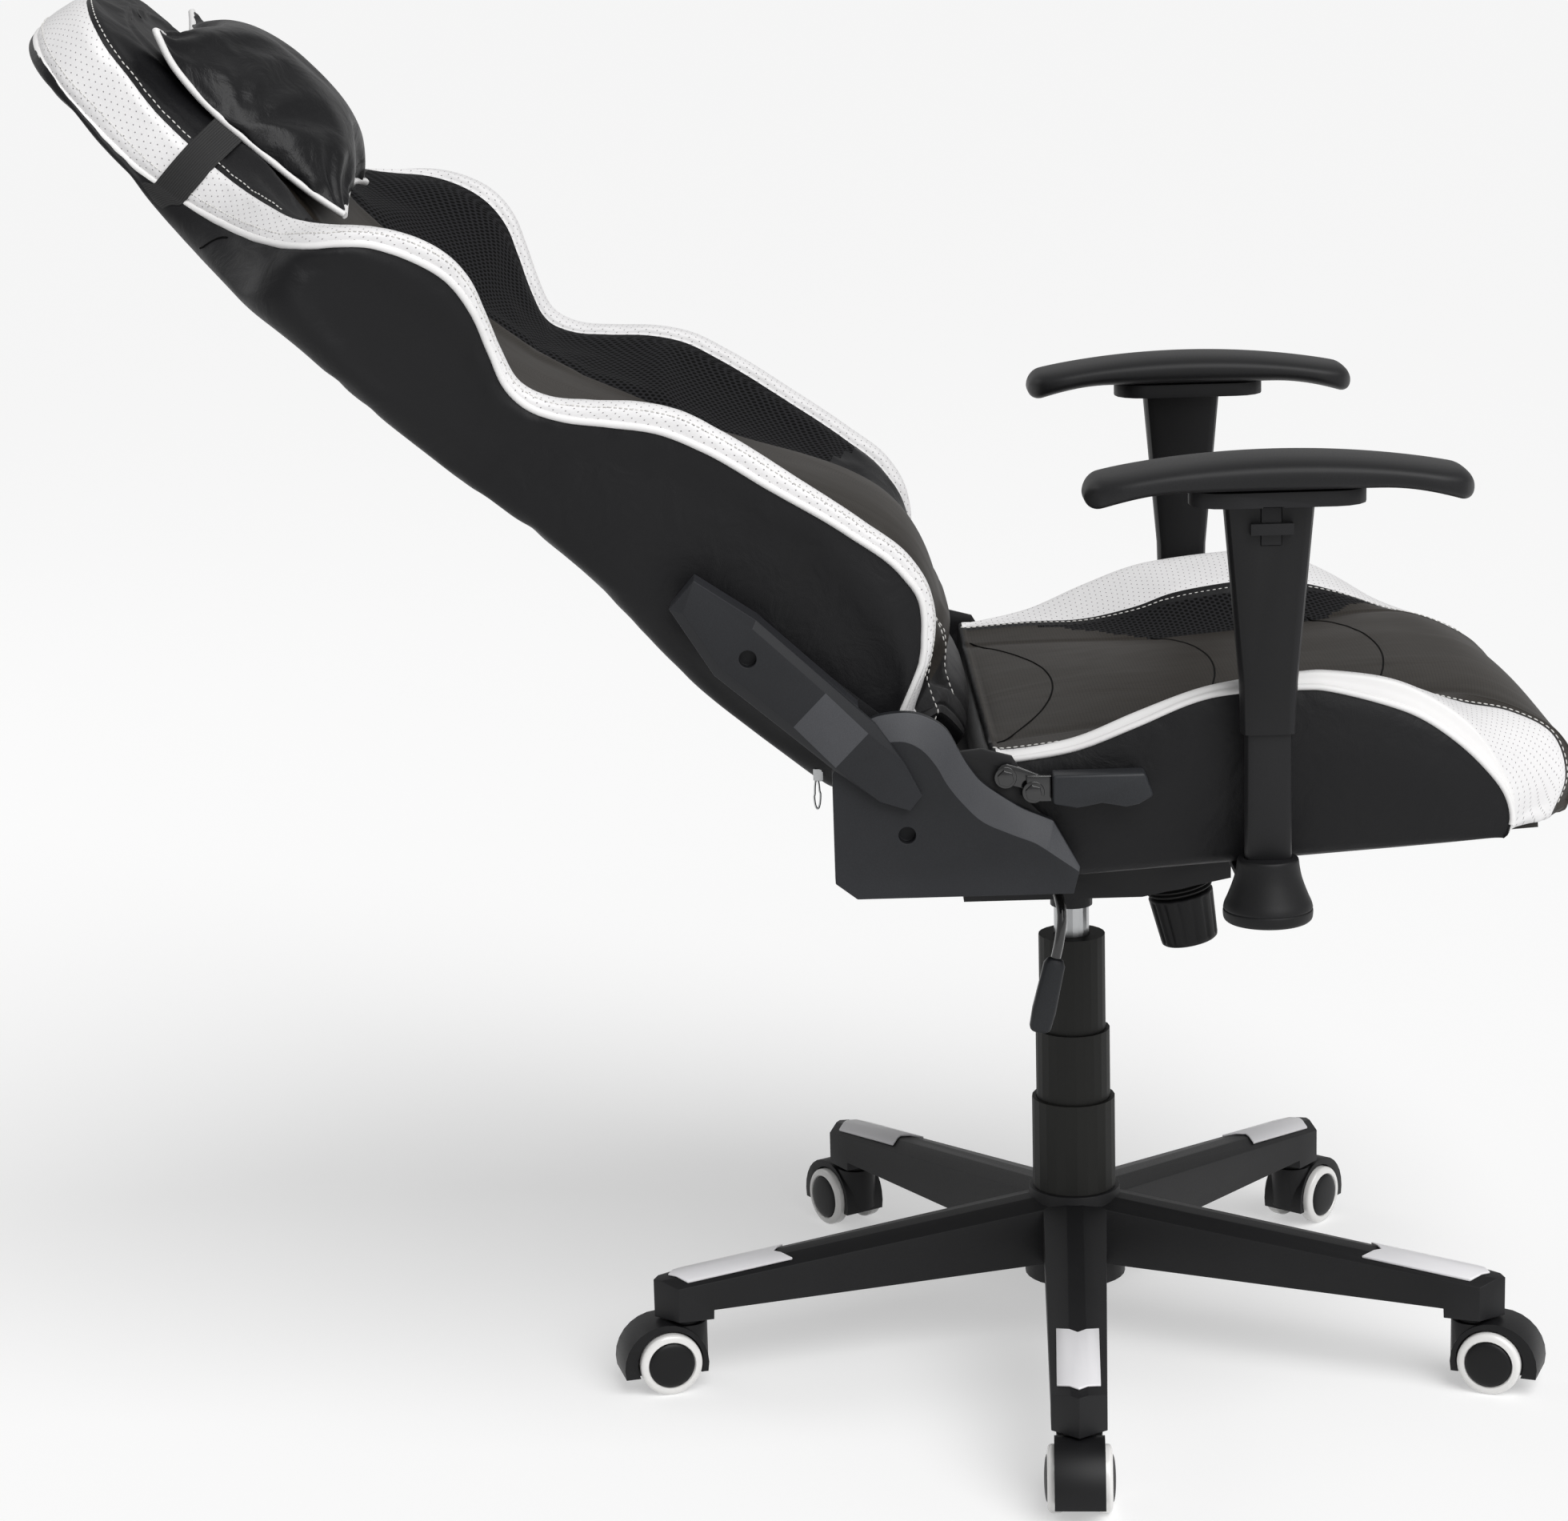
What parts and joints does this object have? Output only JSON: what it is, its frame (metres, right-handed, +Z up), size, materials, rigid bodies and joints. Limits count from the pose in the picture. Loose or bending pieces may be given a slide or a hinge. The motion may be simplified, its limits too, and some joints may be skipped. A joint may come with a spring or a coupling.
{
  "type": "gaming chair",
  "caption": "Gaming chair with bolstered seat, reclining high backrest, head pillow, height-adjustable armrests and gas lift on a star base with casters.",
  "frame": {"origin": "on the floor, on the axis of the gas column", "axes": "+Z up; the chair faces -Y, so the sitter's right hand is at -X and the backrest reclines towards +Y"},
  "size_m": [0.7109, 1.131, 1.0888],
  "materials": {
    "black_nylon": "glass-filled black nylon, fine satin grain",
    "black_plastic": "black moulded plastic, satin",
    "grey_plastic": "charcoal moulded plastic, matt",
    "white_plastic": "white polyurethane and plastic, glossy",
    "black_rubber": "black soft-touch polyurethane, matt",
    "black_steel": "black powder-coated steel, semi-gloss",
    "dark_steel": "black-coated steel tube",
    "bright_steel": "bright ground steel",
    "padded_cover": null,
    "black_elastic": "black ribbed elastic band",
    "board_wood": "plywood, unfinished, hidden under the seat"
  },
  "bodies": {
    "base": {"five_star_base": "black_nylon", "gas_cylinder": "dark_steel", "column_cover_lower": "black_plastic", "leg_cap_1": "white_plastic", "leg_cap_2": "white_plastic", "leg_cap_3": "white_plastic", "leg_cap_4": "white_plastic", "leg_cap_5": "white_plastic"},
    "spindle": {"gas_spindle": "bright_steel"},
    "middle_cover": {"column_cover_middle": "black_plastic"},
    "upper_cover": {"column_cover_upper": "black_plastic"},
    "mechanism": {"tilt_housing": "black_steel", "spring_boot": "black_rubber"},
    "tension_knob": {"tension_knob": "black_plastic"},
    "gas_lever": {"gas_lever_rod": "black_steel", "gas_lever_paddle": "grey_plastic"},
    "seat": {"tilt_plate": "black_steel", "seat_board": "board_wood", "seat_cushion": "padded_cover", "hinge_plate_right": "black_steel", "hinge_pin_right": "bright_steel", "lower_hinge_cover_right": "grey_plastic", "arm_bar_right": "black_steel", "arm_post_right": "black_plastic", "arm_cup_right": "black_plastic", "hinge_plate_left": "black_steel", "hinge_pin_left": "bright_steel", "lower_hinge_cover_left": "grey_plastic", "arm_bar_left": "black_steel", "arm_post_left": "black_plastic", "arm_cup_left": "black_plastic"},
    "backrest": {"back_frame": "black_steel", "back_cushion": "padded_cover", "head_pillow": "padded_cover", "pillow_strap": "black_elastic", "upper_hinge_cover_right": "grey_plastic", "upper_hinge_cover_left": "grey_plastic"},
    "recline_lever": {"recline_lever_arm": "black_steel", "recline_lever_grip": "grey_plastic"},
    "caster_1": {"caster_housing_1": "black_nylon"},
    "wheel_1a": {"caster_wheel_1a": "white_plastic"},
    "wheel_1b": {"caster_wheel_1b": "white_plastic"},
    "caster_2": {"caster_housing_2": "black_nylon"},
    "wheel_2a": {"caster_wheel_2a": "white_plastic"},
    "wheel_2b": {"caster_wheel_2b": "white_plastic"},
    "caster_3": {"caster_housing_3": "black_nylon"},
    "wheel_3a": {"caster_wheel_3a": "white_plastic"},
    "wheel_3b": {"caster_wheel_3b": "white_plastic"},
    "caster_4": {"caster_housing_4": "black_nylon"},
    "wheel_4a": {"caster_wheel_4a": "white_plastic"},
    "wheel_4b": {"caster_wheel_4b": "white_plastic"},
    "caster_5": {"caster_housing_5": "black_nylon"},
    "wheel_5a": {"caster_wheel_5a": "white_plastic"},
    "wheel_5b": {"caster_wheel_5b": "white_plastic"},
    "armrest_right": {"arm_sleeve_right": "black_plastic", "arm_pad_right": "black_rubber"},
    "arm_trigger_right": {"arm_trigger_right": "black_plastic"},
    "armrest_left": {"arm_sleeve_left": "black_plastic", "arm_pad_left": "black_rubber"},
    "arm_trigger_left": {"arm_trigger_left": "black_plastic"}
  },
  "joints": [
    {"name": "caster_swivel_1", "type": "hinge", "parent": "base", "child": "caster_1", "pos_m": [-0.32417, 0.02324, 0.05849], "axis": [0, 0, 1], "continuous": true},
    {"name": "caster_wheel_spin_1a", "type": "hinge", "parent": "caster_1", "child": "wheel_1a", "pos_m": [-0.34113, 0.02445, 0.02479], "axis": [-0.0715, -0.9974, 0], "continuous": true},
    {"name": "caster_wheel_spin_1b", "type": "hinge", "parent": "caster_1", "child": "wheel_1b", "pos_m": [-0.34113, 0.02445, 0.02479], "axis": [-0.0715, -0.9974, 0], "continuous": true},
    {"name": "caster_swivel_2", "type": "hinge", "parent": "base", "child": "caster_2", "pos_m": [-0.07807, 0.31548, 0.05849], "axis": [0, 0, 1], "continuous": true},
    {"name": "caster_wheel_spin_2a", "type": "hinge", "parent": "caster_2", "child": "wheel_2a", "pos_m": [-0.08216, 0.33198, 0.02479], "axis": [-0.9707, -0.2402, 0], "continuous": true},
    {"name": "caster_wheel_spin_2b", "type": "hinge", "parent": "caster_2", "child": "wheel_2b", "pos_m": [-0.08216, 0.33198, 0.02479], "axis": [-0.9707, -0.2402, 0], "continuous": true},
    {"name": "caster_swivel_3", "type": "hinge", "parent": "base", "child": "caster_3", "pos_m": [0.27592, 0.17174, 0.05849], "axis": [0, 0, 1], "continuous": true},
    {"name": "caster_wheel_spin_3a", "type": "hinge", "parent": "caster_3", "child": "wheel_3a", "pos_m": [0.29035, 0.18073, 0.02479], "axis": [-0.5284, 0.849, 0], "continuous": true},
    {"name": "caster_wheel_spin_3b", "type": "hinge", "parent": "caster_3", "child": "wheel_3b", "pos_m": [0.29035, 0.18073, 0.02479], "axis": [-0.5284, 0.849, 0], "continuous": true},
    {"name": "caster_swivel_4", "type": "hinge", "parent": "base", "child": "caster_4", "pos_m": [0.2486, -0.20934, 0.05849], "axis": [0, 0, 1], "continuous": true},
    {"name": "caster_wheel_spin_4a", "type": "hinge", "parent": "caster_4", "child": "wheel_4a", "pos_m": [0.2616, -0.22029, 0.02479], "axis": [0.6441, 0.7649, 0], "continuous": true},
    {"name": "caster_wheel_spin_4b", "type": "hinge", "parent": "caster_4", "child": "wheel_4b", "pos_m": [0.2616, -0.22029, 0.02479], "axis": [0.6441, 0.7649, 0], "continuous": true},
    {"name": "caster_swivel_5", "type": "hinge", "parent": "base", "child": "caster_5", "pos_m": [-0.12227, -0.30112, 0.05849], "axis": [0, 0, 1], "continuous": true},
    {"name": "caster_wheel_spin_5a", "type": "hinge", "parent": "caster_5", "child": "wheel_5a", "pos_m": [-0.12867, -0.31687, 0.02479], "axis": [0.9265, -0.3762, 0], "continuous": true},
    {"name": "caster_wheel_spin_5b", "type": "hinge", "parent": "caster_5", "child": "wheel_5b", "pos_m": [-0.12867, -0.31687, 0.02479], "axis": [0.9265, -0.3762, 0], "continuous": true},
    {"name": "gas_lift", "type": "slide", "parent": "base", "child": "spindle", "axis": [0, 0, 1], "range_m": [-0.08, 0.02]},
    {"name": "middle_cover_slide", "type": "slide", "parent": "base", "child": "middle_cover", "axis": [0, 0, 1], "range_m": [-0.028, 0.007]},
    {"name": "upper_cover_slide", "type": "slide", "parent": "base", "child": "upper_cover", "axis": [0, 0, 1], "range_m": [-0.058, 0.0145]},
    {"name": "seat_swivel", "type": "hinge", "parent": "spindle", "child": "mechanism", "pos_m": [0, 0, 0.38999], "axis": [0, 0, 1], "continuous": true},
    {"name": "tension_knob_turn", "type": "hinge", "parent": "mechanism", "child": "tension_knob", "pos_m": [0, -0.083, 0.38999], "axis": [0, -0.1908, -0.9816], "range_deg": [-720, 720]},
    {"name": "gas_lever_lift", "type": "hinge", "parent": "mechanism", "child": "gas_lever", "pos_m": [-0.054, 0.0215, 0.40899], "axis": [0, 1, 0], "range_deg": [0, 10], "stiffness_Nm_per_rad": 3, "springref_deg": -11.46},
    {"name": "seat_tilt", "type": "hinge", "parent": "mechanism", "child": "seat", "pos_m": [0, -0.04, 0.42399], "axis": [1, 0, 0], "range_deg": [-12, 0], "stiffness_Nm_per_rad": 170, "springref_deg": 24.06},
    {"name": "backrest_recline", "type": "hinge", "parent": "seat", "child": "backrest", "pos_m": [0, 0.142, 0.53799], "axis": [1, 0, 0], "range_deg": [-20, 42]},
    {"name": "recline_lever_pull", "type": "hinge", "parent": "seat", "child": "recline_lever", "pos_m": [-0.2678, 0.066, 0.53599], "axis": [1, 0, 0], "range_deg": [-25, 0], "stiffness_Nm_per_rad": 3, "springref_deg": 11.46},
    {"name": "armrest_height_right", "type": "slide", "parent": "seat", "child": "armrest_right", "axis": [0, 0, 1], "range_m": [-0.045, 0.03]},
    {"name": "arm_trigger_pull_right", "type": "hinge", "parent": "armrest_right", "child": "arm_trigger_right", "pos_m": [-0.2961, -0.119, 0.72849], "axis": [0, 1, 0], "range_deg": [0, 12], "stiffness_Nm_per_rad": 0.5, "springref_deg": -11.46},
    {"name": "armrest_height_left", "type": "slide", "parent": "seat", "child": "armrest_left", "axis": [0, 0, 1], "range_m": [-0.045, 0.03]},
    {"name": "arm_trigger_pull_left", "type": "hinge", "parent": "armrest_left", "child": "arm_trigger_left", "pos_m": [0.2961, -0.119, 0.72849], "axis": [0, 1, 0], "range_deg": [-12, 0], "stiffness_Nm_per_rad": 0.5, "springref_deg": 11.46}
  ],
  "couplings": [
    {"joint": "upper_cover_slide", "follows": "gas_lift", "ratio": 0.725},
    {"joint": "middle_cover_slide", "follows": "gas_lift", "ratio": 0.35}
  ]
}
